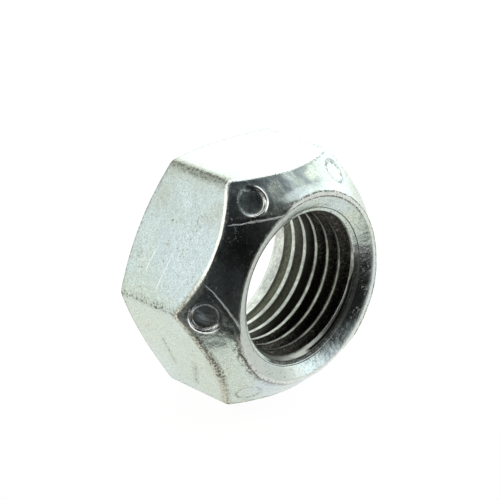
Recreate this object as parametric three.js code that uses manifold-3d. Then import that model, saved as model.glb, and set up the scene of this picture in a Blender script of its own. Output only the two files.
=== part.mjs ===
// Cone-topped all-metal lock nut, 1/2-20 UNF, standing on one of its wrench flats.
// The thread axis lies along Y. The cone end faces -Y and the bearing face faces +Y.
// Millimetres, +Z up, origin under the middle of the nut on the surface that it stands on.

import * as THREE from "three";
import { mergeVertices } from "three/addons/utils/BufferGeometryUtils.js";
import Module from "manifold-3d";

const wasm = await Module();
wasm.setup();

const degrees = THREE.MathUtils.degToRad;

// ---- Driving dimensions ----

const acrossFlats = 19.0;           // 3/4 inch hexagon
const nutHeight = 10.85;
const cornerRadius = 0.65;          // rounding along the six long edges
const hexSides = 6;

const bearingFaceRadius = 8.75;     // flat ring left inside the bearing-side chamfer
const bearingChamferAngle = 26;     // from the bearing face, in degrees

const rimRadius = 7.58;             // where the mouth countersink starts
const landRadius = 7.88;            // outer edge of the narrow flat round the mouth
const landFootRadius = 8.45;        // where the land's steep side runs out into the cone
const coneAngle = 46.3;             // from the bearing face, in degrees

const pitch = 25.4 / 20;            // 20 threads per inch
const majorDiameter = 12.7;         // 1/2 inch
const minorDiameter = 11.5;
const flankAngle = 30;              // half of the 60 degree thread form
const grooveMiddleY = -2.69;        // a thread groove's middle, on the +X side of the bore

const mouthSlopes = [               // cone-end countersink: where each slope ends, and its angle
  { toRadius: 7.0, angle: 22 },     // from the end plane, in degrees
  { toRadius: 6.5, angle: 34 },
  { toRadius: 6.14, angle: 40 },
  { toRadius: 5.55, angle: 69 },
];
const rearSinkRadius = 7.4;         // bearing-side countersink at the bearing face
const rearSlopes = [
  { toRadius: 6.19, angle: 45 },
  { toRadius: 5.55, angle: 71 },
];

const dimpleCount = 6;              // round grade marks, one at each corner of the cone
const dimpleDistance = 9.38;        // from the thread axis
const dimpleRadius = 1.19;
const dimpleFloorRadius = 1.06;
const dimpleDepth = 0.18;
const dimpleSegments = 24;

const crimps = [                    // where the cone is pressed in to grip a bolt
  { direction: 150, lift: 0.11 },   // degrees from +X. A smaller lift is a deeper press: the lift is
  { direction: 270, lift: 0.28 },   // how far the pressed surface's apex stands beyond the cone's
  { direction: 30, lift: 0.38 },
];
const crimpAngle = 44;              // slope of the pressed surface, from the end plane
const crimpShift = 0.92;            // the pressed surface's axis stands this far past the thread axis

const turnedSegments = 72;          // facets round the cone and the chamfers
const threadSegments = 36;          // facets round one turn of thread
const toolOvershoot = 1.0;          // how far a cutting shape runs past the metal
const boreInset = 0.2;              // how far a cutting shape reaches inside the minor diameter

// ---- Worked out from them ----

const bearingY = nutHeight / 2;
const rimY = -nutHeight / 2;
const coneSlope = Math.tan(degrees(coneAngle));
const hexCornerRadius = acrossFlats / 2 / Math.cos(Math.PI / hexSides);
const coneApexY = rimY - rimRadius * coneSlope;

// ---- Solids ----

function solidOf(geometry) {
  const bare = geometry.clone();
  bare.deleteAttribute("normal");
  bare.deleteAttribute("uv");
  const merged = mergeVertices(bare, 1e-4);
  const mesh = new wasm.Mesh({
    numProp: 3,
    vertProperties: new Float32Array(merged.attributes.position.array),
    triVerts: new Uint32Array(merged.index.array),
  });
  return new wasm.Manifold(mesh);
}

function geometryOf(solid) {
  const mesh = solid.getMesh();
  const geometry = new THREE.BufferGeometry();
  geometry.setAttribute("position", new THREE.BufferAttribute(mesh.vertProperties, 3));
  geometry.setIndex(new THREE.BufferAttribute(mesh.triVerts, 1));
  geometry.computeVertexNormals();
  return geometry;
}

// A solid turned round the thread axis. Each profile point is a radius and a Y.
function turnedGeometry(profile, segments = turnedSegments) {
  const points = profile.map(([radius, y]) => new THREE.Vector2(radius, y));
  return new THREE.LatheGeometry(points, segments);
}

// The hexagonal bar that the nut is made from, with its six long edges rounded.
function hexBar() {
  const insideCorner = hexCornerRadius - cornerRadius / Math.cos(Math.PI / hexSides);
  const halfArc = Math.PI / hexSides;
  const outline = new THREE.Shape();
  for (let corner = 0; corner < hexSides; corner += 1) {
    const middle = (corner * 2 * Math.PI) / hexSides;
    const x = insideCorner * Math.cos(middle);
    const y = insideCorner * Math.sin(middle);
    outline.absarc(x, y, cornerRadius, middle - halfArc, middle + halfArc, false);
  }
  const length = nutHeight + 2 * toolOvershoot;
  const bar = new THREE.ExtrudeGeometry(outline, { depth: length, bevelEnabled: false, curveSegments: 4 });
  bar.translate(0, 0, -length / 2);
  return bar.rotateX(Math.PI / 2);
}

// Bearing face, its chamfer, the cone and the land, turned past the hexagon's corners.
function turnedEnvelope() {
  const outside = hexCornerRadius + toolOvershoot;
  const chamferSlope = Math.tan(degrees(bearingChamferAngle));
  return turnedGeometry([
    [0, rimY],
    [landRadius, rimY],
    [landFootRadius, coneApexY + landFootRadius * coneSlope],
    [outside, coneApexY + outside * coneSlope],
    [outside, bearingY - (outside - bearingFaceRadius) * chamferSlope],
    [bearingFaceRadius, bearingY],
    [0, bearingY],
  ]);
}

// The cone surface of the die that presses one side of the nut's cone inwards.
function crimpDie({ direction, lift }) {
  const slope = Math.tan(degrees(crimpAngle));
  const apexY = coneApexY - lift;
  const reach = 2 * acrossFlats;
  const die = turnedGeometry([
    [0, apexY],
    [reach, apexY + reach * slope],
    [0, apexY + reach * slope],
  ]);
  die.translate(-crimpShift * Math.cos(degrees(direction)), 0, -crimpShift * Math.sin(degrees(direction)));
  return die;
}

// One round grade mark: a shallow dish with a flat floor, cut square to the cone.
function dimpleTool(direction) {
  const wallSlope = (dimpleRadius - dimpleFloorRadius) / dimpleDepth;
  const above = dimpleDepth;
  const height = dimpleDepth + above;
  const topRadius = dimpleRadius + above * wallSlope;
  const tool = new THREE.CylinderGeometry(topRadius, dimpleFloorRadius, height, dimpleSegments);
  tool.translate(0, height / 2 - dimpleDepth, 0);
  const outward = new THREE.Vector3(
    Math.sin(degrees(coneAngle)) * Math.cos(degrees(direction)),
    -Math.cos(degrees(coneAngle)),
    Math.sin(degrees(coneAngle)) * Math.sin(degrees(direction)),
  );
  const turn = new THREE.Quaternion().setFromUnitVectors(new THREE.Vector3(0, 1, 0), outward);
  tool.applyQuaternion(turn);
  const x = dimpleDistance * Math.cos(degrees(direction));
  const z = dimpleDistance * Math.sin(degrees(direction));
  return tool.translate(x, coneApexY + dimpleDistance * coneSlope, z);
}

// The plain hole at the thread's minor diameter.
function coreTool() {
  return new THREE.CylinderGeometry(
    minorDiameter / 2,
    minorDiameter / 2,
    nutHeight + 2 * toolOvershoot,
    threadSegments,
  );
}

// The thread groove: a straight bar of the groove's section, wrapped round the axis as a
// right-hand helix. Along the bar, 1 unit of length becomes one turn.
function grooveTool() {
  const innerRadius = minorDiameter / 2 - boreInset;
  const outerRadius = majorDiameter / 2;
  const rootHalfWidth = pitch / 16;
  const openHalfWidth = rootHalfWidth + (outerRadius - innerRadius) * Math.tan(degrees(flankAngle));
  const section = new THREE.Shape([
    new THREE.Vector2(innerRadius, -openHalfWidth),
    new THREE.Vector2(outerRadius, -rootHalfWidth),
    new THREE.Vector2(outerRadius, rootHalfWidth),
    new THREE.Vector2(innerRadius, openHalfWidth),
  ]);
  const turnsBefore = Math.ceil((bearingY - grooveMiddleY) / pitch) + 1;
  const turnsAfter = Math.ceil((grooveMiddleY - rimY) / pitch) + 1;
  const turns = turnsBefore + turnsAfter;
  const groove = new THREE.ExtrudeGeometry(section, {
    depth: turns,
    steps: turns * threadSegments,
    bevelEnabled: false,
  });
  const position = groove.attributes.position;
  for (let i = 0; i < position.count; i += 1) {
    const turn = position.getZ(i);
    const radius = position.getX(i);
    const y = grooveMiddleY + position.getY(i) + (turnsBefore - turn) * pitch;
    const angle = turn * 2 * Math.PI;
    position.setXYZ(i, radius * Math.cos(angle), y, radius * Math.sin(angle));
  }
  return groove;
}

// The hole that one end of the bore opens out into. The first slope starts at startRadius on the
// plane endY, and inward is +1 or -1, the way into the nut along Y.
function openingTool(startRadius, endY, inward, slopes) {
  const overshootY = endY - inward * toolOvershoot * Math.tan(degrees(slopes[0].angle));
  const profile = [[0, overshootY], [startRadius + toolOvershoot, overshootY]];
  let radius = startRadius;
  let y = endY;
  for (const { toRadius, angle } of slopes) {
    y += inward * (radius - toRadius) * Math.tan(degrees(angle));
    radius = toRadius;
    profile.push([radius, y]);
  }
  profile.push([0, y]);
  return turnedGeometry(inward > 0 ? profile : profile.reverse());
}

function nutSolid() {
  let nut = solidOf(hexBar()).intersect(solidOf(turnedEnvelope()));
  for (const crimp of crimps) {
    nut = nut.intersect(solidOf(crimpDie(crimp)));
  }
  for (let mark = 0; mark < dimpleCount; mark += 1) {
    nut = nut.subtract(solidOf(dimpleTool((mark * 360) / dimpleCount)));
  }
  const bore = solidOf(coreTool()).add(solidOf(grooveTool()));
  const mouth = solidOf(openingTool(rimRadius, rimY, 1, mouthSlopes));
  const rear = solidOf(openingTool(rearSinkRadius, bearingY, -1, rearSlopes));
  return nut.subtract(bore).subtract(mouth).subtract(rear);
}

// ---- The part ----

const zincPlatedSteel = new THREE.MeshStandardMaterial({
  color: 0xc3c8c6,
  roughness: 0.38,
  metalness: 1.0,
});

const nutBody = new THREE.Mesh(geometryOf(nutSolid()), zincPlatedSteel);
nutBody.name = "nut_body";
nutBody.position.z = acrossFlats / 2;

const lockNut = new THREE.Group();
lockNut.add(nutBody);

export default lockNut;
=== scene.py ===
import math
import bpy
import numpy as np
from mathutils import Matrix, Vector


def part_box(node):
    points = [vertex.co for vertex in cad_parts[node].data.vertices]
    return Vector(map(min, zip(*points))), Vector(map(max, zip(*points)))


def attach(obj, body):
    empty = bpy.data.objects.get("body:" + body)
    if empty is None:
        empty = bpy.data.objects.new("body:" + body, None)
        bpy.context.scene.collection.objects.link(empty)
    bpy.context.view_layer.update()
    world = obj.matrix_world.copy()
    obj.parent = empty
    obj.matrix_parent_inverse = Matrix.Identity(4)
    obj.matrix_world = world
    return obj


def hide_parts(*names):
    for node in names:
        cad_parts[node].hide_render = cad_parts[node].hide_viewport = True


# A cone-topped all-metal lock nut. Lengths are in millimetres until a mesh is made.
# The thread axis runs along Y. "Height" below is the distance from the bearing face (y = +half
# height) towards the rim of the cone (y = -half height). "Depth" is the distance below the rim.
# "Angle" goes round the axis from +X towards +Z.

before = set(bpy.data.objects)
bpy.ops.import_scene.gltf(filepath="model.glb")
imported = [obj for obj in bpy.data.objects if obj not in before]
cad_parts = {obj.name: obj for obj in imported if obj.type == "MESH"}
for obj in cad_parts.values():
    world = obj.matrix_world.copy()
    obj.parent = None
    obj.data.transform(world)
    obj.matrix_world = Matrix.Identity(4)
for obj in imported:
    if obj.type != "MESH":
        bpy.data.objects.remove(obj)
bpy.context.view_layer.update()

MM = 0.001

# ---- Sizes taken from the frame ----

low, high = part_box("nut_body")
ACROSS_FLATS = (high.z - low.z) / MM
NUT_HEIGHT = (high.y - low.y) / MM
AXIS_Z = (high.z + low.z) / MM / 2
BEARING_Y = high.y / MM

# ---- Sizes of the features, the same as on the CAD part or close to them ----

CORNER_ROUND = 0.65
BEARING_FACE_RADIUS = 8.75
CHAMFER_SLOPE = math.tan(math.radians(26))
RIM_RADIUS = 7.58
LAND_WIDTH = 0.39                        # narrow flat round the mouth, outside the rim
LAND_FOOT_RADIUS = 8.45
CONE_ANGLE = math.radians(46.3)
CONE_SLOPE = math.tan(CONE_ANGLE)
REAR_SINK_RADIUS = 7.4                   # the countersink behind the bearing face, at 45 degrees
REAR_SINK_START = 0.6                    # the outside's rows begin this far down it
PITCH = 25.4 / 20
MAJOR_RADIUS = 12.7 / 2
MINOR_RADIUS = 11.5 / 2
GROOVE_HEIGHT = BEARING_Y + 2.69         # height of a thread groove's middle, on the +X side
DIMPLE_DISTANCE = 9.38
DIMPLE_RADIUS = 1.13
DIMPLE_WALL = 0.18

# ---- Finer shape: the land is off centre, and the countersink is dished, with a step at its foot ----

LAND_OFFSET = 0.15                       # the land is wider by this on one side, and narrower opposite
LAND_OFFSET_ANGLE = math.radians(-5)
LAND_LEAST = 0.02                        # what is left of the land where a crimp has cut it away
SINK_EDGE_SLOPE = math.tan(math.radians(19))
SINK_FOOT_SLOPE = math.tan(math.radians(35))
SINK_FOOT = 6.52
STEP_DEPTH = 0.06
STEP_RUN = 0.03                          # radius lost between the step's top and bottom
RING_RADIUS = 6.43
RING_SLOPE = 0.5
LEAD_RADIUS = 6.20
LEAD_SLOPE = 0.60                        # radius lost per millimetre of depth
LEAD_START = 0.06                        # radius lost on the lead before the bore's own grid begins
REAR_LEAD_SLOPE = 0.34
REAR_LEAD_HEIGHT = 2.5
THREAD_BEGINS = 1.75                     # heights between which the grooves grow to full depth
THREAD_FULL = 2.45

# ---- Crimps: each is a wedge between two straight creases that meet beyond the hexagon ----

CRIMPS = [(30, 0.15), (150, 1.0), (270, 0.3)]      # (direction, how hard it was pressed)
WEDGE_POINT = 12.77
WEDGE_HALF_ANGLE = math.radians(34)
PRESS_SLOPE = 0.042
SHOULDER_WIDTH = 0.36                    # the press's edge, outside each crease
SHOULDER_DEPTH = 0.05
SHOULDER_OUTER = 9.8                     # radii between which the shoulder grows to its full depth
SHOULDER_INNER = 7.8

# ---- Dimples: (angle, depth in the middle, slope towards the rim, slope round the nut) ----

DIMPLES = [                              # no two were struck alike
    (0, 0.17, 0.03, 0.04),
    (60, 0.11, -0.01, 0.02),
    (120, 0.14, 0.10, -0.07),
    (180, 0.22, -0.07, 0.09),
    (240, 0.12, -0.02, -0.03),
    (300, 0.17, 0.05, 0.03),
]
FLAT_FLOOR = math.sin(CONE_ANGLE) / (2 * DIMPLE_DISTANCE)   # takes the cone's curve out of a floor
DIMPLE_LIP = 0.07                        # metal pushed up round the deep side of a dimple
LIP_INNER = 1.02                         # distances of the lip from the dimple's middle
LIP_TOP = 1.22
LIP_OUTER = 1.42
FULL_LIP_TILT = 0.12                     # a floor that slopes this much has a full lip

# ---- What presses and waves reach ----

WAVE_DEPTH = 0.006
WAVE_LIMIT = 0.02
RIM_MARGIN = 0.4                         # the crimps also press this much of the countersink's edge
OFF_CONE = 0.30                          # points this far off the cone get no dimples or waves
ON_CONE = 0.12                           # and points nearer than this get all of them

# ---- Mesh density ----

OUTER_COLUMNS = 576
BORE_COLUMNS = 240
CORNER_CROWDING = 0.5                    # draws columns together near the six corners
LEAST_CONE_RADIUS = 7.0                  # the cone lies between these
GREATEST_CONE_RADIUS = 11.2
WALL_REACH = 0.76                        # a dimple's wall is this far from its middle, as a radius
WALL_SPREAD = 0.16
WALL_CROWDING = 3.2                      # how many more rows there are there, as a share
SEAM_GAP = 0.05                          # height between the outside's last rows and the bore's
ROW_CLEARANCE = 0.02                     # least height between a thread row and the bore's end

SIXTH = math.pi / 3
THIRD = 2 * math.pi / 3
FULL_TURN = 2 * math.pi


def smooth_step(low_edge, high_edge, value):
    x = np.clip((value - low_edge) / (high_edge - low_edge), 0.0, 1.0)
    return x * x * (3 - 2 * x)


def smooth_max(a, b, blend):
    return 0.5 * (a + b + np.sqrt((a - b) ** 2 + blend * blend))


# ---- The hexagon, its chamfer and its cone ----

def from_corner(angle):
    """Angle from the nearest corner."""
    return (angle + math.pi / 6) % SIXTH - math.pi / 6


def hex_radius(angle):
    """Distance from the axis to the rounded hexagon, at each angle."""
    half = ACROSS_FLATS / 2
    centre = (half - CORNER_ROUND) / math.cos(math.pi / 6)
    away = from_corner(angle)
    from_flat = angle % SIXTH - math.pi / 6
    on_flat = half / np.cos(from_flat)
    beside = np.maximum(CORNER_ROUND ** 2 - (centre * np.sin(away)) ** 2, 0)
    round_part = centre * np.cos(away) + np.sqrt(beside)
    flat_half_width = (half - CORNER_ROUND) * math.tan(math.pi / 6)
    sideways = np.abs(on_flat * np.sin(from_flat))
    return np.where(sideways <= flat_half_width, on_flat, round_part)


def chamfer_height(radius):
    return (radius - BEARING_FACE_RADIUS) * CHAMFER_SLOPE


def cone_height(radius):
    return NUT_HEIGHT - (radius - RIM_RADIUS) * CONE_SLOPE


# ---- The crimps ----

def inside_wedge(radius, angle):
    """Distance inside the nearest crimp's creases, seen from the cone end. Negative outside."""
    away = (angle - math.radians(CRIMPS[0][0]) + THIRD / 2) % THIRD - THIRD / 2
    along = WEDGE_POINT - radius * np.cos(away)
    across = np.abs(radius * np.sin(away))
    return along * math.sin(WEDGE_HALF_ANGLE) - across * math.cos(WEDGE_HALF_ANGLE)


def crimp_strength(angle):
    """How hard the nearest crimp was pressed."""
    middles = [math.radians(direction) for direction, _ in CRIMPS]
    nearness = np.stack([np.cos(angle - middle) for middle in middles])
    return np.array([strength for _, strength in CRIMPS])[np.argmax(nearness, axis=0)]


def shoulder(radius, angle):
    """0 beyond a crimp's shoulder, 1 inside its creases, times how hard it was pressed."""
    return smooth_step(-SHOULDER_WIDTH, 0.0, inside_wedge(radius, angle)) * crimp_strength(angle)


def press_depth(radius, angle):
    inside = np.maximum(inside_wedge(radius, angle), 0.0)
    step = SHOULDER_DEPTH * smooth_step(SHOULDER_OUTER, SHOULDER_INNER, radius) * shoulder(radius, angle)
    return PRESS_SLOPE * inside * crimp_strength(angle) + step


def rim_radius(angle):
    """Radius of the rim, which a crimp draws inwards."""
    return RIM_RADIUS - press_depth(RIM_RADIUS, angle) / (CONE_SLOPE + SINK_EDGE_SLOPE)


# ---- Profile in the radial plane: rows of (radius, height), one point for each column ----

def sink_depth(radius):
    """Depth of the dished countersink at a radius."""
    inward = RIM_RADIUS - radius
    bend = (SINK_FOOT_SLOPE - SINK_EDGE_SLOPE) / (2 * (RIM_RADIUS - SINK_FOOT))
    return SINK_EDGE_SLOPE * inward + bend * inward * inward


FOOT_DEPTH = float(sink_depth(SINK_FOOT))
RING_DEPTH = FOOT_DEPTH + STEP_DEPTH
LEAD_DEPTH = RING_DEPTH + (RING_RADIUS - LEAD_RADIUS) * RING_SLOPE


def row_of(radius, height, count):
    return np.stack([np.broadcast_to(radius, count), np.broadcast_to(height, count)], -1).astype(float)


def rounded_corner(before, corner, after, radius, rows):
    """Rows along a circular fillet at a corner of the profile."""
    back = before - corner
    ahead = after - corner
    back_length = np.linalg.norm(back, axis=-1, keepdims=True)
    ahead_length = np.linalg.norm(ahead, axis=-1, keepdims=True)
    back = back / back_length
    ahead = ahead / ahead_length
    half_angle = np.arccos(np.clip((back * ahead).sum(-1, keepdims=True), -1, 1)) / 2
    reach = radius / np.tan(half_angle)
    reach = np.minimum(reach, 0.45 * np.minimum(back_length, ahead_length))
    start = corner + back * reach
    end = corner + ahead * reach
    weight = np.sin(half_angle)
    out = []
    for s in np.linspace(0, 1, rows):
        a = (1 - s) ** 2
        b = 2 * weight * s * (1 - s)
        c = s * s
        out.append((a * start + b * corner + c * end) / (a + b + c))
    return out


def straight_run(start, end, rows):
    """Rows strictly between two rows."""
    return [start + (end - start) * (i + 1) / (rows + 1) for i in range(rows)]


def cone_run(start, end, rows):
    """Rows down the cone, closer together where the dimples' walls are."""
    radius = np.linspace(LEAST_CONE_RADIUS, GREATEST_CONE_RADIUS, 400)
    density = 1.0 + WALL_CROWDING * np.exp(-((radius - DIMPLE_DISTANCE + WALL_REACH) / WALL_SPREAD) ** 2)
    density += WALL_CROWDING * np.exp(-((radius - DIMPLE_DISTANCE - WALL_REACH) / WALL_SPREAD) ** 2)
    total = np.cumsum(density)
    first = np.interp(start[:, 0], radius, total)
    last = np.interp(end[:, 0], radius, total)
    out = []
    for i in range(rows):
        here = np.interp(first + (last - first) * (i + 1) / (rows + 1), total, radius)
        share = ((here - start[:, 0]) / (end[:, 0] - start[:, 0]))[:, None]
        out.append(start + (end - start) * share)
    return out


def sink_run(start, end, rows):
    """Rows down the dished countersink."""
    out = []
    for row in straight_run(start, end, rows):
        row[:, 1] = NUT_HEIGHT - sink_depth(row[:, 0])
        out.append(row)
    return out


def profile_corners(angle):
    """The profile's corners: (row, fillet radius, rows on the fillet, rows after it, how they run)."""
    n = len(angle)
    reach = hex_radius(angle)
    rim = rim_radius(angle)
    rim_height = NUT_HEIGHT - sink_depth(rim)
    land = LAND_WIDTH + LAND_OFFSET * np.cos(angle - LAND_OFFSET_ANGLE)
    land = np.maximum(land * (1 - shoulder(RIM_RADIUS, angle)), LAND_LEAST)
    near_foot = SINK_FOOT + 0.3
    lead_end = NUT_HEIGHT - LEAD_DEPTH - LEAD_START / LEAD_SLOPE
    return [
        (row_of(REAR_SINK_RADIUS - REAR_SINK_START, REAR_SINK_START, n), 0, 0, 5, straight_run),
        (row_of(REAR_SINK_RADIUS, 0.0, n), 0.10, 5, 4, straight_run),
        (row_of(BEARING_FACE_RADIUS, 0.0, n), 0.20, 5, 5, straight_run),
        (row_of(reach, chamfer_height(reach), n), 0.16, 6, 7, straight_run),
        (row_of(reach, cone_height(reach), n), 0.34, 9, 36, cone_run),
        (row_of(LAND_FOOT_RADIUS, cone_height(LAND_FOOT_RADIUS), n), 0, 0, 5, straight_run),
        (row_of(rim + land, rim_height, n), 0.16, 6, 1, straight_run),
        (row_of(rim, rim_height, n), 0.06, 4, 6, sink_run),
        (row_of(near_foot, NUT_HEIGHT - sink_depth(near_foot), n), 0, 0, 3, sink_run),
        (row_of(SINK_FOOT, NUT_HEIGHT - FOOT_DEPTH, n), 0.03, 3, 1, straight_run),
        (row_of(RING_RADIUS + STEP_RUN, NUT_HEIGHT - RING_DEPTH, n), 0.02, 3, 1, straight_run),
        (row_of(LEAD_RADIUS, NUT_HEIGHT - LEAD_DEPTH, n), 0.04, 3, 1, straight_run),
        (row_of(LEAD_RADIUS - LEAD_START, lead_end, n), 0, 0, 0, straight_run),
    ]


def outer_rows(angle):
    """Every row from the rear countersink round the outside to the mouth of the bore."""
    corners = profile_corners(angle)
    rows = []
    for i, (point, radius, fillet_rows, _, _) in enumerate(corners):
        if fillet_rows:
            made = rounded_corner(corners[i - 1][0], point, corners[i + 1][0], radius, fillet_rows)
        else:
            made = [point]
        if rows:
            run_rows, run = corners[i - 1][3:]
            rows += run(rows[-1], made[0], run_rows)
        rows += made
    return np.array(rows)


# ---- The stamped dimples ----

def dimple_place(radius, angle, corner_angle):
    """Position over the cone from a dimple's middle: (towards the rim, round the nut)."""
    away = (angle - math.radians(corner_angle) + math.pi) % FULL_TURN - math.pi
    up_cone = (DIMPLE_DISTANCE - radius) / math.cos(CONE_ANGLE)
    sideways = 0.5 * (radius + DIMPLE_DISTANCE) * away
    return up_cone, sideways


def deep_side_at(up_cone, sideways, tilt_up, tilt_round):
    """1 on a dimple's deep side to -1 on its shallow side."""
    steepest = math.hypot(tilt_up, tilt_round)
    distance = np.hypot(up_cone, sideways)
    return (tilt_up * up_cone + tilt_round * sideways) / (steepest * (distance + 1e-3))


def nearest_dimple(radius, angle):
    """Distance from the nearest dimple's middle, and which side of it this is."""
    nearest = np.full(np.shape(radius + angle), 99.0)
    deep_side = np.zeros(np.shape(nearest))
    for corner_angle, _, tilt_up, tilt_round in DIMPLES:
        up_cone, sideways = dimple_place(radius, angle, corner_angle)
        distance = np.hypot(up_cone, sideways)
        side = deep_side_at(up_cone, sideways, tilt_up, tilt_round)
        deep_side = np.where(distance < nearest, side, deep_side)
        nearest = np.minimum(nearest, distance)
    return nearest, deep_side


def dimple_depth(radius, angle):
    """How far the dimples sink the cone. Negative on their lips."""
    depth = 0.0
    for corner_angle, middle, tilt_up, tilt_round in DIMPLES:
        up_cone, sideways = dimple_place(radius, angle, corner_angle)
        distance = np.hypot(up_cone, sideways)
        flat = middle - sideways ** 2 * FLAT_FLOOR
        floor = np.maximum(flat + tilt_up * up_cone + tilt_round * sideways, 0.0)
        inside = 1 - smooth_step(DIMPLE_RADIUS - DIMPLE_WALL / 2, DIMPLE_RADIUS + DIMPLE_WALL / 2, distance)
        lip = smooth_step(LIP_OUTER, LIP_TOP, distance) * smooth_step(LIP_INNER, LIP_TOP, distance)
        lip_share = smooth_step(0.0, 0.4, deep_side_at(up_cone, sideways, tilt_up, tilt_round))
        lip_share = lip_share * math.hypot(tilt_up, tilt_round) / FULL_LIP_TILT
        depth = depth + floor * inside - DIMPLE_LIP * lip * lip_share
    return depth


def unevenness(x, y, z):
    """Slow waves left by forging and tumbling, as a share of their usual depth."""
    wave = np.sin(1.9 * x + 0.8 * y + 0.3) * np.sin(1.3 * z - 0.9 * y + 1.1)
    wave += 0.6 * np.sin(3.1 * y + 2.3 * z + 0.5) * np.sin(2.7 * x - 1.1 * z + 2.0)
    wave += 0.35 * np.sin(5.3 * x + 4.1 * z) * np.sin(4.7 * y - 3.9 * x + 0.7)
    return wave


def shape_outside(radius, height, angle):
    """Presses the crimps and the dimples into the cone, and roughens it."""
    cone_here = cone_height(radius)
    outside = radius > RIM_RADIUS - RIM_MARGIN
    on_cone = smooth_step(OFF_CONE, ON_CONE, np.abs(height - cone_here)) * outside
    above_cone = np.maximum(height - cone_here, 0.0) * (radius > RIM_RADIUS)
    waves = WAVE_DEPTH + WAVE_DEPTH * unevenness(radius * np.cos(angle), height, radius * np.sin(angle))
    inward = (dimple_depth(radius, angle) + np.clip(waves, 0, WAVE_LIMIT)) * on_cone
    die_height = cone_here - press_depth(radius, angle) + above_cone * (1 - shoulder(radius, angle))
    pressed_height = np.where(outside, np.minimum(height, die_height), height)
    return radius - inward * math.sin(CONE_ANGLE), pressed_height - inward * math.cos(CONE_ANGLE)


# ---- The thread ----

GROOVE_PROFILE = [                       # (distance from the groove's middle, radius)
    (0.00, MAJOR_RADIUS - 0.005),
    (0.07, MAJOR_RADIUS - 0.02),
    (0.12, MAJOR_RADIUS - 0.075),
    (0.25, MAJOR_RADIUS - 0.296),
    (0.40, MINOR_RADIUS + 0.055),
    (0.445, MINOR_RADIUS + 0.012),
    (0.50, MINOR_RADIUS),
    (PITCH / 2, MINOR_RADIUS),
]


def from_groove(offset):
    """Distance from the middle of the nearest groove."""
    return np.abs((offset + PITCH / 2) % PITCH - PITCH / 2)


def bore_radius(height, angle):
    """The bore's wall, opened out at each end, and the distance of each point from a crest."""
    away = from_groove(height - (GROOVE_HEIGHT + PITCH * angle / FULL_TURN))
    thread = np.interp(away, [p[0] for p in GROOVE_PROFILE], [p[1] for p in GROOVE_PROFILE])
    full = smooth_step(THREAD_BEGINS, THREAD_FULL, height)
    thread = MINOR_RADIUS + (thread - MINOR_RADIUS) * full
    mouth = LEAD_RADIUS - (NUT_HEIGHT - height - LEAD_DEPTH) * LEAD_SLOPE
    rear_lead = MINOR_RADIUS + (REAR_LEAD_HEIGHT - height) * REAR_LEAD_SLOPE
    opening = np.maximum(mouth, np.maximum(REAR_SINK_RADIUS - height, rear_lead))
    from_crest = np.where(thread > opening, PITCH / 2 - away, 0.0)
    return smooth_max(thread, opening, 0.02), from_crest


def pitch_offsets():
    """The rows that one pitch of thread needs, as distances from the groove's middle."""
    positive = [p[0] for p in GROOVE_PROFILE]
    negative = [-p for p in positive[1:-1]]
    return np.array(sorted(negative + positive))


def bore_columns(start_height, end_height):
    """For each column: [(key, height)], where the same key in two columns is the same thread line."""
    offsets = pitch_offsets()
    per_pitch = len(offsets)
    columns = []
    for i in range(BORE_COLUMNS):
        base = GROOVE_HEIGHT + PITCH * i / BORE_COLUMNS
        first = math.floor((start_height - base) / PITCH) - 1
        last = math.ceil((end_height - base) / PITCH) + 1
        entries = []
        for pitch_index in range(first, last + 1):
            for row, offset in enumerate(offsets):
                height = base + pitch_index * PITCH + offset
                if start_height + ROW_CLEARANCE < height < end_height - ROW_CLEARANCE:
                    entries.append((pitch_index * per_pitch + row, height))
        columns.append(entries)
    return columns, per_pitch


# ---- Building the mesh ----

def column_angles(count, crowding):
    even = np.arange(count) * FULL_TURN / count
    return even - crowding / 6 * np.sin(6 * even)


def bridge_rings(inner, inner_angles, outer, outer_angles):
    """Triangles between two closed rings with different numbers of points."""
    faces = []
    n = len(inner)
    m = len(outer)
    i = j = 0
    while i < n or j < m:
        next_inner = inner_angles[(i + 1) % n] + (FULL_TURN if i + 1 >= n else 0)
        next_outer = outer_angles[(j + 1) % m] + (FULL_TURN if j + 1 >= m else 0)
        if j >= m or (i < n and next_inner <= next_outer):
            faces.append((inner[i % n], inner[(i + 1) % n], outer[j % m]))
            i += 1
        else:
            faces.append((inner[i % n], outer[(j + 1) % m], outer[j % m]))
            j += 1
    return faces


def zip_columns(left, right):
    """Faces between two neighbouring bore columns. Each is a list of (key, vertex)."""
    faces = []
    i = j = 0
    while i < len(left) - 1 or j < len(right) - 1:
        left_end = i + 1 >= len(left)
        right_end = j + 1 >= len(right)
        left_key = math.inf if left_end else left[i + 1][0]
        right_key = math.inf if right_end else right[j + 1][0]
        if left_key == right_key and not left_end and not right_end:
            faces.append((left[i][1], left[i + 1][1], right[j + 1][1], right[j][1]))
            i += 1
            j += 1
        elif right_end or (left_key < right_key and not left_end):
            faces.append((left[i][1], left[i + 1][1], right[j][1]))
            i += 1
        else:
            faces.append((left[i][1], right[j + 1][1], right[j][1]))
            j += 1
    return faces


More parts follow.
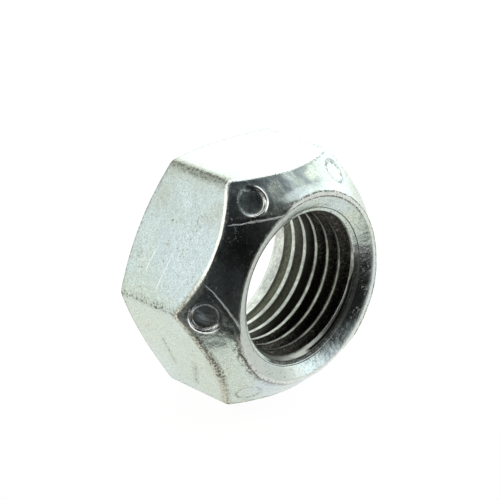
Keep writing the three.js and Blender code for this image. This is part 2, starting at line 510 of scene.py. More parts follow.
def bore_grid(start_height, end_height, first_vertex):
    """Points and faces of the bore, with its first and last rings."""
    columns, per_pitch = bore_columns(start_height, end_height)
    angles = np.arange(BORE_COLUMNS) * FULL_TURN / BORE_COLUMNS
    parts = []
    vertex_columns = []
    total = first_vertex
    for entries, angle in zip(columns, angles):
        heights = np.array([start_height] + [h for _, h in entries] + [end_height])
        here = np.full(len(heights), angle)
        wall, from_crest = bore_radius(heights, here)
        parts.append((wall, heights, here, from_crest))
        keys = [-math.inf] + [k for k, _ in entries] + [math.inf]
        vertex_columns.append(list(zip(keys, range(total, total + len(heights)))))
        total += len(heights)
    # after one turn the first column comes back a pitch lower
    closing = [(k - per_pitch if math.isfinite(k) else k, v) for k, v in vertex_columns[0]]
    faces = []
    for left, right in zip(vertex_columns, vertex_columns[1:] + [closing]):
        faces += zip_columns(left, right)
    points = [np.concatenate(part) for part in zip(*parts)]
    start_ring = [c[0][1] for c in vertex_columns]
    end_ring = [c[-1][1] for c in vertex_columns]
    return points, faces, start_ring, end_ring, angles


def surface_fields(radius, height, angle, groove, unpressed_radius):
    """What the material has to know at each point."""
    reach = hex_radius(angle)
    cone_start = cone_height(reach)
    on_cone_side = height > cone_start - 0.02
    dimple, deep_side = nearest_dimple(unpressed_radius, angle)
    return {
        "groove": groove,
        "wedge": inside_wedge(radius, angle),
        "dimple": dimple,
        "deep_side": deep_side,
        "pressed": shoulder(RIM_RADIUS, angle),
        "radius": radius,
        "depth": NUT_HEIGHT - height,
        "arc": np.where(on_cone_side, (reach - radius) / math.cos(CONE_ANGLE), height - cone_start),
        "corner": np.abs(radius * np.sin(from_corner(angle))),
        "chamfer": height - chamfer_height(reach),
        "rim": radius - rim_radius(angle),
        "east": np.cos(angle),
        "up": np.sin(angle),
    }


def nut_mesh():
    angle = column_angles(OUTER_COLUMNS, CORNER_CROWDING)
    rows = outer_rows(angle)
    outer_radius, outer_height = shape_outside(rows[..., 0], rows[..., 1], angle[None, :])
    row_count = len(rows)
    count = row_count * OUTER_COLUMNS
    index = np.arange(count).reshape(row_count, OUTER_COLUMNS)
    beside = np.roll(index, -1, axis=1)
    quads = np.stack([index[:-1], beside[:-1], beside[1:], index[1:]], -1).reshape(-1, 4)
    faces = [tuple(q) for q in quads.tolist()]

    bore, bore_faces, start_ring, end_ring, bore_angles = bore_grid(
        rows[0, 0, 1] + SEAM_GAP, rows[-1, 0, 1] - SEAM_GAP, count)
    mouth_faces = bridge_rings(end_ring, bore_angles, index[-1].tolist(), angle)
    faces += bore_faces
    faces += bridge_rings(start_ring, bore_angles, index[0].tolist(), angle)
    faces += [tuple(reversed(face)) for face in mouth_faces]

    radius = np.concatenate([outer_radius.ravel(), bore[0]])
    height = np.concatenate([outer_height.ravel(), bore[1]])
    angles = np.concatenate([np.tile(angle, row_count), bore[2]])
    groove = np.concatenate([np.full(count, -1.0), bore[3]])
    unpressed_radius = np.concatenate([rows[..., 0].ravel(), bore[0]])
    points = np.stack([radius * np.cos(angles), BEARING_Y - height, AXIS_Z + radius * np.sin(angles)], -1)
    mesh = bpy.data.meshes.new("nut")
    mesh.from_pydata((points * MM).tolist(), [], faces)
    mesh.validate()
    for name, values in surface_fields(radius, height, angles, groove, unpressed_radius).items():
        attribute = mesh.attributes.new(name, "FLOAT", "POINT")
        attribute.data.foreach_set("value", values.astype(np.float32))
    mesh.polygons.foreach_set("use_smooth", [True] * len(mesh.polygons))
    mesh.update()
    return mesh


# ---- Material: nodes ----

class Nodes:
    """Short names for the shader nodes that the zinc plate needs."""

    def __init__(self, material):
        material.use_nodes = True
        self.nodes = material.node_tree.nodes
        self.links = material.node_tree.links
        self.shader = self.nodes["Principled BSDF"]
        self.place = self.nodes.new("ShaderNodeTexCoord").outputs["Object"]

    def put(self, value, socket):
        if isinstance(value, (int, float, tuple)):
            socket.default_value = value
        else:
            self.links.new(value, socket)

    def field(self, name):
        node = self.nodes.new("ShaderNodeAttribute")
        node.attribute_name = name
        return node.outputs["Fac"]

    def noise(self, size, detail, roughness=0.5):
        """Noise whose grains are about 'size' millimetres across."""
        node = self.nodes.new("ShaderNodeTexNoise")
        node.inputs["Scale"].default_value = 1.0
        node.inputs["Detail"].default_value = detail
        node.inputs["Roughness"].default_value = roughness
        mapping = self.nodes.new("ShaderNodeMapping")
        scale = 0.5 / (size * MM)
        mapping.inputs["Scale"].default_value = (scale, scale, scale)
        self.links.new(self.place, mapping.inputs["Vector"])
        self.links.new(mapping.outputs["Vector"], node.inputs["Vector"])
        return node.outputs["Fac"]

    def ramp(self, value, low_edge, high_edge, at_low=0.0, at_high=1.0):
        node = self.nodes.new("ShaderNodeMapRange")
        node.inputs["From Min"].default_value = low_edge
        node.inputs["From Max"].default_value = high_edge
        node.inputs["To Min"].default_value = at_low
        node.inputs["To Max"].default_value = at_high
        self.put(value, node.inputs["Value"])
        return node.outputs[0]

    def math(self, operation, a, b=0.0, clamp=False):
        node = self.nodes.new("ShaderNodeMath")
        node.operation = operation
        node.use_clamp = clamp
        self.put(a, node.inputs[0])
        self.put(b, node.inputs[1])
        return node.outputs[0]

    def both(self, *masks):
        found = masks[0]
        for mask in masks[1:]:
            found = self.math("MULTIPLY", found, mask)
        return found

    def either(self, *masks):
        found = masks[0]
        for mask in masks[1:]:
            found = self.math("MAXIMUM", found, mask)
        return found

    def facing(self, direction, half_width, soft, at_middle=1.0, beyond=0.0):
        """One value within half_width degrees of a direction round the nut, another past 'soft'."""
        turned = math.radians(direction)
        along = self.math("ADD", self.math("MULTIPLY", self.field("east"), math.cos(turned)),
                          self.math("MULTIPLY", self.field("up"), math.sin(turned)))
        away = self.math("ARCCOSINE", self.math("MAXIMUM", self.math("MINIMUM", along, 1.0), -1.0))
        edge = math.radians(half_width)
        return self.ramp(away, edge, math.radians(half_width + soft), at_middle, beyond)

    def band(self, value, middle, half_width, soft):
        """1 within half_width of the middle, falling to 0 over 'soft'."""
        away = self.math("ABSOLUTE", self.math("SUBTRACT", value, middle))
        return self.ramp(away, half_width, half_width + soft, 1.0, 0.0)

    def mark(self, flat, start, end, half_width, soft):
        """1 along a straight mark on the wrench flat facing one way. Ends are (depth, across)."""
        turned = math.radians(flat)
        along_x = self.math("MULTIPLY", self.field("up"), math.cos(turned))
        along_z = self.math("MULTIPLY", self.field("east"), math.sin(turned))
        across = self.math("MULTIPLY", self.field("radius"), self.math("SUBTRACT", along_x, along_z))
        length = math.hypot(end[0] - start[0], end[1] - start[1])
        run = ((end[0] - start[0]) / length, (end[1] - start[1]) / length)
        down = self.math("SUBTRACT", self.field("depth"), start[0])
        over = self.math("SUBTRACT", across, start[1])
        travelled = self.math("ADD", self.both(down, run[0]), self.both(over, run[1]))
        beside = self.math("SUBTRACT", self.both(over, run[0]), self.both(down, run[1]))
        return self.both(self.band(beside, 0.0, half_width, soft), self.facing(flat, 29, 1),
                         self.band(travelled, length / 2, length * 0.35, length * 0.15))

    def mix(self, kind, first_socket, mask, base, value):
        node = self.nodes.new("ShaderNodeMix")
        node.data_type = kind
        self.put(mask, node.inputs[0])
        self.put(base, node.inputs[first_socket])
        self.put(value, node.inputs[first_socket + 1])
        return node

    def tint(self, mask, base, colour):
        return self.mix("RGBA", 6, mask, base, colour).outputs[2]

    def shade(self, base, factor):
        """The colour, made lighter or darker by a factor."""
        node = self.mix("RGBA", 6, 1.0, base, factor)
        node.blend_type = "MULTIPLY"
        return node.outputs[2]

    def blend(self, mask, base, value):
        return self.mix("FLOAT", 2, mask, base, value).outputs[0]

    def bump(self, height, distance, under=None):
        node = self.nodes.new("ShaderNodeBump")
        node.inputs["Strength"].default_value = 1.0
        node.inputs["Distance"].default_value = distance * MM
        self.put(height, node.inputs["Height"])
        if under is not None:
            self.links.new(under, node.inputs["Normal"])
        return node.outputs["Normal"]


class Surface:
    """A colour, roughness and metal share, with finishes laid over them one at a time."""

    def __init__(self, n, colour, roughness):
        self.n = n
        self.colour = colour
        self.roughness = roughness
        self.metal = 1.0

    def lay(self, mask, finish, shade=None):
        colour, roughness, metal = finish
        if shade is not None:
            colour = self.n.shade(colour, shade)
        self.colour = self.n.tint(mask, self.colour, colour)
        self.roughness = self.n.blend(mask, self.roughness, roughness)
        self.metal = self.n.blend(mask, self.metal, metal)


# ---- Material: colours, and finishes as (colour, roughness, metal share) ----

WARM_ZINC = (0.585, 0.655, 0.575, 1)
COOL_ZINC = (0.595, 0.685, 0.70, 1)
YELLOWED_ZINC = (0.66, 0.66, 0.52, 1)
OLIVE_DIRT = (0.21, 0.20, 0.14, 1)
BROWN_DIRT = (0.08, 0.077, 0.058, 1)
THREAD_SOOT = (0.030, 0.028, 0.024, 1)
# the rear grooves' lighter grey is partly painted light
THREAD_GREY_PAINTED_LIGHT = (0.60, 0.62, 0.54, 1)
THREAD_RUST = (0.22, 0.205, 0.165, 1)
# the rear crests' brighter colour is partly painted light
REAR_CREST_PAINTED_LIGHT = (0.66, 0.70, 0.63, 1)
FRONT_CREST = (0.30, 0.32, 0.275, 1)
# painted light: the lead at one side of the mouth, clean metal painted near white
CLEAN_LEAD_PAINTED_LIGHT = (0.95, 0.99, 0.91, 1)

BRIGHT_CRYSTAL = ((0.80, 0.84, 0.82, 1), 0.4, 0.9)
GREY_PIT = ((0.36, 0.38, 0.33, 1), 0.5, 0.8)
GREENISH_FLAT = ((0.62, 0.68, 0.56, 1), 0.32, 0.95)
OLIVE_FLAT = ((0.54, 0.57, 0.47, 1), 0.34, 0.9)
BLUISH_FLAT = ((0.63, 0.72, 0.73, 1), 0.27, 1.0)
# painted shade: dark patches on the dented upper side of the cone
DENT_PAINTED_SHADE = ((0.26, 0.31, 0.33, 1), 0.3, 1.0)
# painted shade: one side of the countersink painted a darker grey
SINK_PAINTED_SHADE = ((0.50, 0.54, 0.52, 1), 0.24, 1.0)
WORN_RIM = ((0.93, 0.95, 0.89, 1), 0.40, 0.6)
# worn edge, partly a painted highlight
WORN_EDGE_AND_HIGHLIGHT = ((0.97, 0.96, 0.88, 1), 0.25, 1.0)
RUBBED_RIM = ((0.93, 0.96, 0.89, 1), 0.45, 0.3)
# rubbed dull, and painted near white as painted light
RUBBED_SINK_PAINTED_LIGHT = ((0.95, 1.0, 0.93, 1), 0.6, 0.0)
OLIVE_HAZE = ((0.63, 0.62, 0.48, 1), 0.42, 0.7)
CORNER_GREASE = ((0.33, 0.36, 0.29, 1), 0.5, 0.7)
# painted shade in the step's corner
STEP_PAINTED_SHADE = ((0.09, 0.085, 0.07, 1), 0.6, 0.4)
# painted shade on one side of the ring inside the step
RING_PAINTED_SHADE = ((0.05, 0.048, 0.04, 1), 0.5, 0.6)
SCRATCH = ((0.97, 0.98, 0.96, 1), 0.3, 1.0)
SMEAR = ((0.18, 0.18, 0.13, 1), 0.6, 0.5)
# painted shade: the dark arc on a dimple's shallow side
DIMPLE_PAINTED_SHADE = ((0.05, 0.05, 0.048, 1), 0.4, 0.8)
# scraped wall, partly a painted highlight
SCRAPED_WALL_AND_HIGHLIGHT = ((0.98, 0.99, 0.96, 1), 0.24, 1.0)
OLIVE_LINE = ((0.30, 0.27, 0.19, 1), 0.6, 0.4)
# painted shade: dark floors of the dimples near the hard crimp
DIMPLE_FLOOR_PAINTED_SHADE = ((0.10, 0.105, 0.11, 1), 0.3, 1.0)
SHOULDER_GRIME = ((0.30, 0.26, 0.19, 1), 0.6, 0.4)
# scraped crease, partly a painted highlight
SCRAPED_CREASE_AND_HIGHLIGHT = ((0.97, 0.98, 0.95, 1), 0.5, 0.4)
# painted shade: the dark band beside the lead
LEAD_PAINTED_SHADE = ((0.035, 0.033, 0.028, 1), 0.5, 0.8)

# ---- Material: directions round the nut, in degrees ----

UPPER_LEFT_FLAT = 150
LOWER_LEFT_FLAT = 210
UPPER_CORNER = 120
HARD_CRIMP = 150
STRUCK_DIMPLE = 180


class Places:
    """Masks for the parts of the surface, and the noises that break the layers up."""

    def __init__(self, n):
        self.from_crest = n.field("groove")
        self.wedge = n.field("wedge")
        self.dimple = n.field("dimple")
        self.deep_side = n.field("deep_side")
        self.radius = n.field("radius")
        self.depth = n.field("depth")
        self.arc = n.field("arc")
        self.corner = n.field("corner")
        self.chamfer = n.field("chamfer")
        self.rim = n.field("rim")
        self.grit = n.noise(0.055, 1.0)
        self.grain = n.noise(0.13, 2.0, 0.6)
        self.specks = n.noise(0.10, 3.0, 0.75)
        self.clusters = n.noise(0.9, 2.0, 0.6)
        self.ripple = n.noise(0.55, 2.0)
        self.patches = n.noise(1.5, 3.0, 0.6)
        self.drift = n.noise(5.0, 1.0)
        self.dents = n.noise(1.0, 1.0, 0.4)
        self.unpressed = n.math("SUBTRACT", 1.0, n.field("pressed"))
        self.outside = n.ramp(self.from_crest, -0.6, -0.4, 1.0, 0.0)
        self.in_bore = n.math("SUBTRACT", 1.0, self.outside)
        self.on_cone = n.both(self.outside, n.ramp(self.arc, 0.02, 0.12), n.ramp(self.rim, 0.0, 0.06))
        self.on_flat = n.both(self.outside, n.ramp(self.arc, -0.25, -0.1, 1.0, 0.0),
                              n.ramp(self.chamfer, -0.05, 0.05))
        self.in_sink = n.both(self.outside, n.ramp(self.rim, -0.04, 0.0, 1.0, 0.0),
                              n.ramp(self.depth, 1.2, 1.6, 1.0, 0.0))
        self.low_side = n.facing(215, 35, 20)
        self.top_side = n.facing(72, 30, 20)
        self.crystal_shade = n.math("ADD", n.ramp(self.grit, 0.25, 0.75, 0.80, 1.20),
                                    n.ramp(self.grain, 0.25, 0.75, -0.10, 0.10))
        self.many = n.ramp(self.specks, 0.42, 0.54)
        self.some = n.ramp(self.specks, 0.51, 0.60)
        self.few = n.ramp(self.specks, 0.60, 0.66)
        self.wander = n.ramp(n.noise(0.5, 2.0), 0.3, 0.7, -0.05, 0.05)


# ---- Material: layers, from the bare plate up. n makes the nodes, p holds the places ----

def bare_plate(n, p):
    """Patchy between a cool blue grey and a warmer green grey, with a fine crystal grain."""
    cool = n.math("ADD", n.ramp(p.patches, 0.35, 0.65, -0.45, 0.45), n.ramp(p.drift, 0.4, 0.6), clamp=True)
    plate = n.tint(cool, WARM_ZINC, COOL_ZINC)
    plate = n.tint(n.ramp(p.clusters, 0.55, 0.75, 0.0, 0.35), plate, YELLOWED_ZINC)
    return Surface(n, n.shade(plate, p.crystal_shade), n.ramp(p.patches, 0.3, 0.7, 0.22, 0.34))


def lay_plate_tones(n, p, skin):
    """Crystals and pits everywhere, then the tones of single flats, with painted shade on the dents and on
    one side of the countersink.
    """
    skin.lay(n.both(n.ramp(p.grain, 0.63, 0.75), n.ramp(p.clusters, 0.4, 0.6, 0.2, 0.7)), BRIGHT_CRYSTAL)
    skin.lay(n.both(p.outside, n.ramp(p.specks, 0.36, 0.27), 0.5), GREY_PIT)
    skin.lay(n.both(p.on_flat, p.low_side, n.ramp(p.patches, 0.35, 0.6, 0.1, 0.5)),
             GREENISH_FLAT, p.crystal_shade)
    skin.lay(n.both(p.on_flat, n.facing(127, 9, 12), n.ramp(p.patches, 0.3, 0.7, 0.2, 0.8)),
             OLIVE_FLAT, p.crystal_shade)
    skin.lay(n.both(p.on_flat, n.facing(UPPER_LEFT_FLAT, 24, 4), n.ramp(p.patches, 0.6, 0.35, 0.1, 0.6)),
             BLUISH_FLAT, p.crystal_shade)
    # painted shade: the dents on the upper side of the cone are painted dark
    dent_painted_shade = n.both(p.on_cone, n.facing(96, 14, 10), n.ramp(p.rim, 0.45, 0.9), n.ramp(p.dents, 0.47, 0.56))
    skin.lay(n.both(dent_painted_shade, 0.8), DENT_PAINTED_SHADE)
    # painted shade: the countersink is painted darker on this side
    skin.lay(n.both(p.in_sink, n.facing(-12, 24, 12), n.ramp(p.rim, -0.15, -0.4)), SINK_PAINTED_SHADE)


def lay_wear(n, p, skin):
    """Edges, the rim and the land, worn bright, with a painted highlight on the flats' edges and painted
    light on one side of the countersink's lip.
    """
    land = n.both(p.outside, p.unpressed, n.band(p.rim, 0.16, 0.18, 0.08), n.facing(12, 22, 15, 0.3, 1.0))
    skin.lay(n.both(land, n.ramp(p.grain, 0.35, 0.5, 0.45, 0.85)), WORN_RIM)
    # the edges between the flats and the cone: wear, and partly a painted highlight
    edge = n.both(p.outside, n.band(p.arc, -0.17, 0.14, 0.06), n.facing(215, 30, 5, 0.35, 1.0))
    skin.lay(n.both(edge, n.ramp(p.grain, 0.3, 0.5, 0.6, 1.0)), WORN_EDGE_AND_HIGHLIGHT)
    rim = n.both(p.outside, n.band(p.rim, -0.03, 0.05, 0.08))
    skin.lay(n.both(rim, n.ramp(p.grain, 0.3, 0.5, 0.3, 0.8)), RUBBED_RIM)
    # one side of the countersink's lip: rubbed dull, and painted lighter as painted light
    lip = n.both(p.in_sink, n.facing(185, 62, 25), n.ramp(p.radius, 6.5, 6.62))
    skin.lay(n.both(lip, n.ramp(p.grit, 0.2, 0.7, 0.6, 0.95)), RUBBED_SINK_PAINTED_LIGHT)
    haze = n.both(p.outside, n.band(p.arc, -0.05, 0.30, 0.30), p.low_side)
    skin.lay(n.both(haze, n.ramp(p.patches, 0.35, 0.6, 0.35, 0.8)), OLIVE_HAZE, p.crystal_shade)


def arc_dirt(n, p):
    """Dirt along the arcs where the cone meets the flats."""
    line = n.math("ADD", p.arc, p.wander)
    return n.either(
        n.both(n.band(p.arc, 0.10, 0.06, 0.14), p.some, n.ramp(p.clusters, 0.35, 0.6, 0.3, 1.0)),
        n.both(n.band(p.arc, 0.02, 0.28, 0.35), p.low_side, n.ramp(p.specks, 0.45, 0.57),
               n.ramp(p.clusters, 0.35, 0.55, 0.45, 1.0)),
        n.both(n.band(line, 0.16, 0.03, 0.08), p.low_side, p.many, 0.8),
        n.both(n.band(p.arc, -0.16, 0.03, 0.10), p.top_side, p.some))


def rim_dirt(n, p):
    """Dirt round the mouth: along the rim and outside the land."""
    line = n.math("ADD", p.rim, p.wander)
    return n.either(
        n.both(n.band(p.rim, -0.01, 0.03, 0.05), p.top_side, p.many),
        n.both(n.band(line, 0.38, 0.03, 0.06), p.unpressed, p.many),
        n.both(n.band(line, 0.33, 0.03, 0.06), p.low_side, p.unpressed, n.ramp(p.specks, 0.34, 0.46)),
        n.both(n.band(p.rim, 0.36, 0.12, 0.25), p.low_side, p.unpressed, p.some),
        n.both(n.band(p.rim, 0.08, 0.02, 0.06), p.few))


def corner_dirt(n, p):
    """Dirt along the corners between the flats, and along the bearing face's chamfer."""
    line = n.math("ADD", p.corner, p.wander)
    clustered = n.either(p.few, n.both(p.some, n.ramp(p.clusters, 0.45, 0.6)))
    return n.both(p.on_flat, n.either(
        n.both(n.ramp(p.corner, 0.15, 0.62, 1.0, 0.0), clustered),
        n.both(n.ramp(line, 0.04, 0.12, 1.0, 0.0), p.many, 0.75),
        n.both(n.ramp(p.corner, 0.1, 0.7, 1.0, 0.0), n.facing(UPPER_CORNER, 9, 2), p.some, 0.8),
        n.both(n.band(p.chamfer, 0.05, 0.05, 0.15), p.many, 0.5)))


def all_dirt(n, p):
    """Olive and brown dirt, in lines and specks along the edges."""
    front = n.ramp(p.depth, 5.0, 4.0)
    loose = n.both(p.outside, p.few, n.ramp(p.clusters, 0.58, 0.66))
    sink_loose = n.both(p.in_sink, p.few, n.ramp(p.clusters, 0.42, 0.5))
    round_dimples = n.both(n.band(p.dimple, 0.95, 0.05, 0.10), p.on_cone, p.some)
    found = n.either(arc_dirt(n, p), n.both(rim_dirt(n, p), front), corner_dirt(n, p),
                     loose, sink_loose, round_dimples)
    return n.both(found, p.outside)


def lay_dirt(n, p, skin, dirt):
    greasy = n.both(p.on_flat, n.ramp(p.corner, 0.1, 0.65, 1.0, 0.0), n.facing(UPPER_CORNER, 9, 2))
    skin.lay(n.both(greasy, n.ramp(p.specks, 0.3, 0.5, 0.3, 0.8)), CORNER_GREASE)
    brown = n.tint(n.ramp(p.clusters, 0.4, 0.6), OLIVE_DIRT, BROWN_DIRT)
    skin.lay(n.both(dirt, 0.92), (brown, 0.6, 0.35))
    front_end = n.ramp(p.depth, 1.0, 1.2, 1.0, 0.0)
    # painted shade: a dark line in the corner of the step at the countersink's foot
    step = n.both(p.outside, n.band(p.radius, SINK_FOOT - 0.03, 0.02, 0.02), front_end)
    skin.lay(n.both(step, 0.8), STEP_PAINTED_SHADE)
    # painted shade: the ring inside the step, painted dark on one side
    ring = n.both(p.outside, n.band(p.radius, 6.27, 0.12, 0.04), front_end, n.facing(-60, 62, 12))
    skin.lay(n.both(ring, n.ramp(p.specks, 0.35, 0.5, 0.6, 0.95)), RING_PAINTED_SHADE)


def lay_handling_marks(n, p, skin):
    """Scratches and a spot on one flat, smears on the next. Ends are (depth, across) on the flat."""
    scratch = n.either(n.mark(UPPER_LEFT_FLAT, (6.10, 0.9), (6.45, 4.6), 0.012, 0.05),
                       n.mark(UPPER_LEFT_FLAT, (7.9, 1.3), (8.1, 3.2), 0.01, 0.05))
    skin.lay(n.both(scratch, n.ramp(p.grain, 0.3, 0.5, 0.4, 0.9)), SCRATCH)
    smear = n.either(n.mark(LOWER_LEFT_FLAT, (4.6, 0.4), (6.2, 4.2), 0.10, 0.30),
                     n.mark(LOWER_LEFT_FLAT, (7.3, -1.6), (7.6, 2.6), 0.05, 0.25),
                     n.both(n.mark(UPPER_LEFT_FLAT, (9.30, 1.6), (9.35, 2.5), 0.10, 0.2), 0.9))
    skin.lay(n.both(smear, n.either(n.both(p.some, 0.8), n.ramp(p.grain, 0.4, 0.6, 0.0, 0.22))), SMEAR)


def lay_dimples(n, p, skin):
    """The wall is scraped bright on the deep side with a painted highlight, and has a painted shade arc on
    the other. Two floors are painted dark as painted shade.
    """
    wall = n.both(n.band(p.dimple, 1.13, 0.09, 0.04), p.on_cone)
    # painted shade: a dark arc on the shallow side's wall, full on the struck dimple and faint on the
    # others
    shallow_side_shade = n.both(wall, n.ramp(p.deep_side, 0.2, -0.25), n.facing(STRUCK_DIMPLE, 12, 3, 1.0, 0.10))
    skin.lay(shallow_side_shade, DIMPLE_PAINTED_SHADE)
    # scraped bright on the deep side, and partly a painted highlight there, on the dimples near the hard
    # crimp
    scraped_and_highlit = n.both(n.band(p.dimple, 1.20, 0.17, 0.05), p.on_cone, n.ramp(p.deep_side, -0.05, 0.35),
                     n.facing(HARD_CRIMP, 50, 5))
    skin.lay(n.both(scraped_and_highlit, n.ramp(p.grain, 0.3, 0.45, 0.7, 1.0)), SCRAPED_WALL_AND_HIGHLIGHT)
    line = n.both(n.band(p.dimple, 0.93, 0.06, 0.07), p.on_cone, n.ramp(p.deep_side, 0.1, 0.6),
                  n.ramp(p.specks, 0.42, 0.55))
    skin.lay(n.both(line, 0.7), OLIVE_LINE)
    # painted shade: the floors of the dimples near the hard crimp are painted dark
    floor = n.both(n.ramp(p.dimple, 0.98, 0.88), p.on_cone, n.facing(HARD_CRIMP, 50, 3))
    skin.lay(n.both(floor, n.ramp(p.patches, 0.65, 0.4, 0.35, 0.85)), DIMPLE_FLOOR_PAINTED_SHADE)


def lay_creases(n, p, skin):
    """The hard crimp's creases, scraped bright and partly a painted highlight, with a dull broken line on
    their shoulders.
    """
    broken = n.noise(0.5, 2.0, 0.6)
    off_line = n.math("ADD", p.wedge, n.ramp(n.noise(0.45, 2.0), 0.3, 0.7, -0.05, 0.05))
    half_width = n.ramp(p.radius, 9.4, 7.7, 0.015, 0.045)
    past_core = n.math("SUBTRACT", n.math("ABSOLUTE", off_line), half_width)
    core = n.math("SUBTRACT", 1.0, n.math("DIVIDE", past_core, 0.022), clamp=True)
    by_crimp = n.both(p.on_cone, n.facing(HARD_CRIMP, 55, 4))
    crease = n.both(core, by_crimp, n.ramp(p.radius, 9.65, 9.3), n.ramp(broken, 0.30, 0.42))
    shoulder_line = n.both(n.band(off_line, -0.37, 0.03, 0.06), by_crimp, n.ramp(p.arc, 0.2, 0.7),
                           n.ramp(broken, 0.40, 0.52))
    skin.lay(n.both(shoulder_line, p.some, 0.8), SHOULDER_GRIME)
    # the creases: scraped metal, and partly a painted highlight
    skin.lay(crease, SCRAPED_CREASE_AND_HIGHLIGHT)
    return crease


def crest_colour(n, p):
    # darker towards the mouth and lighter towards the rear: partly dirt on the front crests, partly painted
    # light at the rear
    colour = n.tint(n.ramp(p.depth, 8.0, 2.6), REAR_CREST_PAINTED_LIGHT, FRONT_CREST)
    worn = n.both(n.ramp(p.grain, 0.25, 0.75, 0.65, 1.25), n.ramp(p.clusters, 0.35, 0.65, 0.7, 1.15))
    return n.shade(colour, worn)


def groove_colour(n, p):
    """Brown-black soot at the front, painted lighter grey towards the rear: partly cleaner metal, partly
    painted light.
    """
    colour = n.tint(n.ramp(p.depth, 5.2, 7.5), THREAD_SOOT, THREAD_GREY_PAINTED_LIGHT)
    rusty = n.both(n.ramp(p.specks, 0.48, 0.60), n.ramp(p.clusters, 0.35, 0.6, 0.2, 0.75))
    return n.tint(rusty, colour, THREAD_RUST)


def lay_thread(n, p, skin):
    """Clean crests and sooty grooves, with a clean lead painted light at one side of the mouth and painted
    shade beside it.
    """
    lead_start = n.ramp(n.field("up"), -0.25, 0.15, 1.33, 0.95)
    by_lead = n.math("SUBTRACT", p.depth, lead_start)
    right_side = n.facing(-35, 42, 6)
    # painted light: the lead on the right side of the mouth is painted bright
    clean_lead_painted_light = n.either(n.both(n.band(by_lead, -0.03, 0.24, 0.04), right_side),
                          n.both(n.ramp(p.depth, 1.30, 1.15), n.facing(-105, 24, 12), 0.8))
    crest = n.tint(clean_lead_painted_light, crest_colour(n, p), CLEAN_LEAD_PAINTED_LIGHT)
    skin.lay(p.in_bore, (crest, 0.33, n.ramp(clean_lead_painted_light, 0.0, 1.0, 1.0, 0.85)))
    # painted shade: darker on the mouth side of the lead, on the same side
    skin.lay(n.both(p.in_bore, n.ramp(by_lead, -0.25, -0.31), right_side), LEAD_PAINTED_SHADE)
    crest_width = n.math("ADD", n.ramp(p.depth, 2.0, 7.5, 0.045, 0.15),
                         n.ramp(p.clusters, 0.3, 0.7, -0.03, 0.03))
    past_crest = n.math("SUBTRACT", p.from_crest, crest_width)
    sooty = n.math("DIVIDE", past_crest, 0.06, clamp=True)
    skin.lay(n.both(p.in_bore, sooty), (groove_colour(n, p), 0.5, 0.8))


def bumps(n, p, dirt, crease):
    """Fine relief, as (mask, height in millimetres)."""
    beaten = n.both(p.dents, n.facing(93, 18, 20), p.on_cone)
    normal = None
    for mask, height in ((beaten, 0.12), (p.ripple, 0.055), (p.grain, 0.016), (p.grit, 0.006),
                         (dirt, -0.012), (crease, 0.04)):
        normal = n.bump(mask, height, normal)
    return normal


def zinc_plate():
    material = bpy.data.materials.new("zinc_plate")
    n = Nodes(material)
    p = Places(n)
    dirt = all_dirt(n, p)
    skin = bare_plate(n, p)
    lay_plate_tones(n, p, skin)
    lay_wear(n, p, skin)
    lay_dirt(n, p, skin, dirt)
    lay_handling_marks(n, p, skin)
    lay_dimples(n, p, skin)
    crease = lay_creases(n, p, skin)
    lay_thread(n, p, skin)
    n.put(skin.colour, n.shader.inputs["Base Color"])
    n.put(skin.roughness, n.shader.inputs["Roughness"])
    n.put(skin.metal, n.shader.inputs["Metallic"])
    n.put(bumps(n, p, dirt, crease), n.shader.inputs["Normal"])
    return material


nut = bpy.data.objects.new("lock_nut", nut_mesh())
bpy.context.scene.collection.objects.link(nut)
nut.data.materials.append(zinc_plate())
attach(nut, "root")
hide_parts("nut_body")


# ---- Floor, in metres ----

FLOOR_DIRECTION = -32                    # the way its front edge faces
FLOOR_FRONT = 0.0128
FLOOR_BACK = 0.4
FLOOR_HALF_WIDTH = 0.4
FLOOR_COLOUR = (0.12, 0.12, 0.11, 1)
FLOOR_GLOW = 0.93


def toward(azimuth, elevation):
    """A direction. Azimuth 0 looks out from the cone end, and 90 along +X."""
    azimuth = math.radians(azimuth)
    elevation = math.radians(elevation)
    return Vector((math.sin(azimuth) * math.cos(elevation), -math.cos(azimuth) * math.cos(elevation),
                   math.sin(elevation)))


def make_floor():
    mesh = bpy.data.meshes.new("floor")
    forward = toward(FLOOR_DIRECTION, 0)
    side = Vector((forward.y, -forward.x, 0)) * FLOOR_HALF_WIDTH
    front = forward * FLOOR_FRONT
    back = -forward * FLOOR_BACK
    corners = [front - side, front + side, back + side, back - side]
    mesh.from_pydata([tuple(c) for c in corners], [], [(0, 1, 2, 3)])
    floor = bpy.data.objects.new("floor", mesh)
    bpy.context.scene.collection.objects.link(floor)
    material = bpy.data.materials.new("floor_paper")
    material.use_nodes = True
    shader = material.node_tree.nodes["Principled BSDF"]
    shader.inputs["Base Color"].default_value = FLOOR_COLOUR
    shader.inputs["Roughness"].default_value = 0.9
    shader.inputs["Emission Color"].default_value = (1.0, 1.0, 1.0, 1)
    shader.inputs["Emission Strength"].default_value = FLOOR_GLOW
    floor.data.materials.append(material)


# ---- Light: a pale tent, as (azimuth, elevation, inner angle, outer angle, inside, outside) ----

TENT_PARTS = [
    (-43, 14, 50, 70, 0.010, 1.0),       # the open side, which is dark
    (-5, 44, 10, 56, 0.05, 1.0),         # dark part above it
    (120, 12, 20, 75, 1.8, 0.95),        # broad panel behind
    (6, -18, 14, 33, 0.02, 1.0),         # dark part below the floor's front edge
    (-72, 9, 12, 18, 45, 1.0),           # paler patch in the open side, at its left
    (42, 19, 15, 20, 1.9, 1.0),          # panel in front, on the right
    (-112, 30, 8, 30, 1.5, 1.0),         # panel on the left
]
TENT_COLOUR = (0.97, 1.0, 0.99, 1)
BACKDROP_COLOUR = (1, 1, 1, 1)


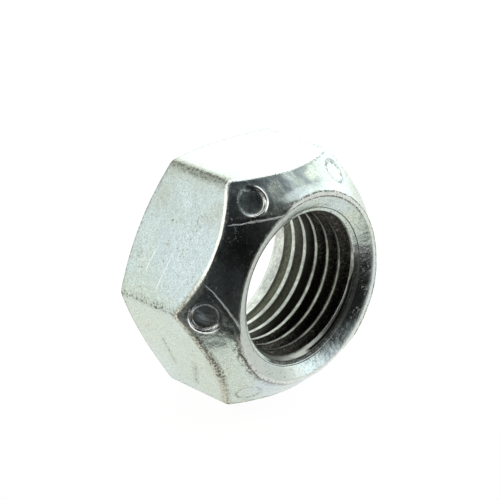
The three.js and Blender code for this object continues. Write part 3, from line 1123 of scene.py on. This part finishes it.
def tent_part(nodes, links, place, azimuth, elevation, inner, outer, inside, beyond):
    """A factor on the light: one value inside a circle of directions, fading to another beyond it."""
    dot = nodes.new("ShaderNodeVectorMath")
    dot.operation = "DOT_PRODUCT"
    links.new(place, dot.inputs[0])
    dot.inputs[1].default_value = toward(azimuth, elevation)
    arc = nodes.new("ShaderNodeMath")
    arc.operation = "ARCCOSINE"
    links.new(dot.outputs["Value"], arc.inputs[0])
    fade = nodes.new("ShaderNodeMapRange")
    fade.interpolation_type = "SMOOTHSTEP"
    fade.inputs["From Min"].default_value = math.radians(inner)
    fade.inputs["From Max"].default_value = math.radians(outer)
    fade.inputs["To Min"].default_value = inside
    fade.inputs["To Max"].default_value = beyond
    links.new(arc.outputs[0], fade.inputs["Value"])
    return fade.outputs[0]


def make_world():
    """The tent lights the nut. A plain white backdrop is all that is seen behind it."""
    world = bpy.data.worlds.new("studio")
    bpy.context.scene.world = world
    world.use_nodes = True
    nodes = world.node_tree.nodes
    links = world.node_tree.links
    nodes.clear()
    place = nodes.new("ShaderNodeTexCoord").outputs["Generated"]
    factors = [tent_part(nodes, links, place, *part) for part in TENT_PARTS]
    strength = factors[0]
    for factor in factors[1:]:
        product = nodes.new("ShaderNodeMath")
        product.operation = "MULTIPLY"
        links.new(strength, product.inputs[0])
        links.new(factor, product.inputs[1])
        strength = product.outputs[0]
    tent = nodes.new("ShaderNodeBackground")
    tent.inputs["Color"].default_value = TENT_COLOUR
    links.new(strength, tent.inputs["Strength"])
    backdrop = nodes.new("ShaderNodeBackground")
    backdrop.inputs["Color"].default_value = BACKDROP_COLOUR
    path = nodes.new("ShaderNodeLightPath")
    mix = nodes.new("ShaderNodeMixShader")
    links.new(path.outputs["Is Camera Ray"], mix.inputs[0])
    links.new(tent.outputs[0], mix.inputs[1])
    links.new(backdrop.outputs[0], mix.inputs[2])
    out = nodes.new("ShaderNodeOutputWorld")
    links.new(mix.outputs[0], out.inputs["Surface"])


# ---- Camera ----

CAMERA_PLACE = (-103.8, -101.1, 72.9)
CAMERA_LENS = 142.9
CAMERA_SENSOR = 36.0
CAMERA_YAW = 0.7932                      # radians, from +Y towards +X
CAMERA_DIP = 0.4028                      # radians, below the horizon
CAMERA_ROLL = 0.0136


def make_camera():
    data = bpy.data.cameras.new("camera")
    data.sensor_width = CAMERA_SENSOR
    data.lens = CAMERA_LENS
    data.clip_start = 0.001
    level = math.cos(CAMERA_DIP)
    ahead = Vector((math.sin(CAMERA_YAW) * level, math.cos(CAMERA_YAW) * level, -math.sin(CAMERA_DIP)))
    right = Vector((math.cos(CAMERA_YAW), -math.sin(CAMERA_YAW), 0))
    up = right.cross(ahead)
    rolled_right = right * math.cos(CAMERA_ROLL) + up * math.sin(CAMERA_ROLL)
    rolled_up = up * math.cos(CAMERA_ROLL) - right * math.sin(CAMERA_ROLL)
    rotation = Matrix((rolled_right, rolled_up, -ahead)).transposed()
    camera = bpy.data.objects.new("camera", data)
    bpy.context.scene.collection.objects.link(camera)
    camera.matrix_world = Matrix.Translation(Vector(CAMERA_PLACE) * MM) @ rotation.to_4x4()
    bpy.context.scene.camera = camera


make_floor()
make_world()
make_camera()
bpy.context.scene.view_settings.view_transform = "Standard"
